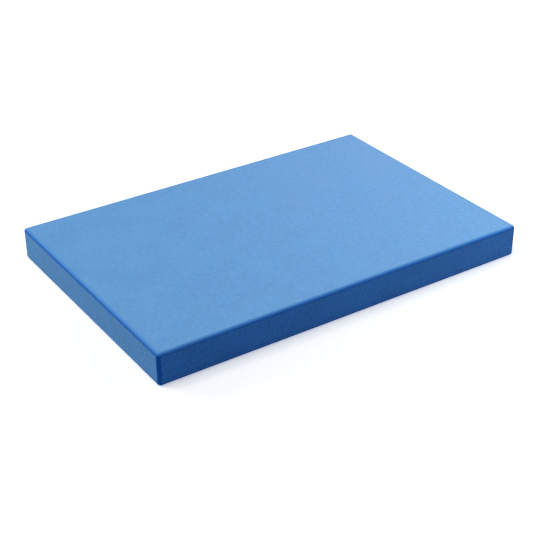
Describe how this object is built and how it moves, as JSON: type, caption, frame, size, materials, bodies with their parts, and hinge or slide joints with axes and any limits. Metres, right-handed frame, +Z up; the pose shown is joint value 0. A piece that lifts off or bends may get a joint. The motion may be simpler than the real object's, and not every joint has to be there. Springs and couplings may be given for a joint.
{
  "type": "balance pad",
  "caption": "Flat rectangular foam balance pad with rounded edges and corners, its core soft enough to give under a standing foot.",
  "frame": {"origin": "middle of the pad's underside, on the floor", "axes": "+X along the pad's length, +Y along its width, +Z up from the floor through its thickness"},
  "size_m": [0.305, 0.203, 0.025],
  "materials": {
    "foam_skin": "matt sky-blue EVA foam with a smooth skin",
    "foam_core": "matt blue EVA foam with fine closed cells on its cut sides",
    "adhesive": "dried film of contact adhesive, translucent amber"
  },
  "bodies": {
    "base": {"floor_sheet": "foam_skin", "lower_bond_film": "adhesive", "foam_core": "foam_core"},
    "tread": {"upper_bond_film": "adhesive", "standing_sheet": "foam_skin"}
  },
  "joints": [
    {"name": "foam_press", "type": "slide", "parent": "base", "child": "tread", "axis": [0, 0, 1], "range_m": [-0.003, 0], "stiffness_N_per_m": 200000, "deforming": ["foam_core"]}
  ]
}
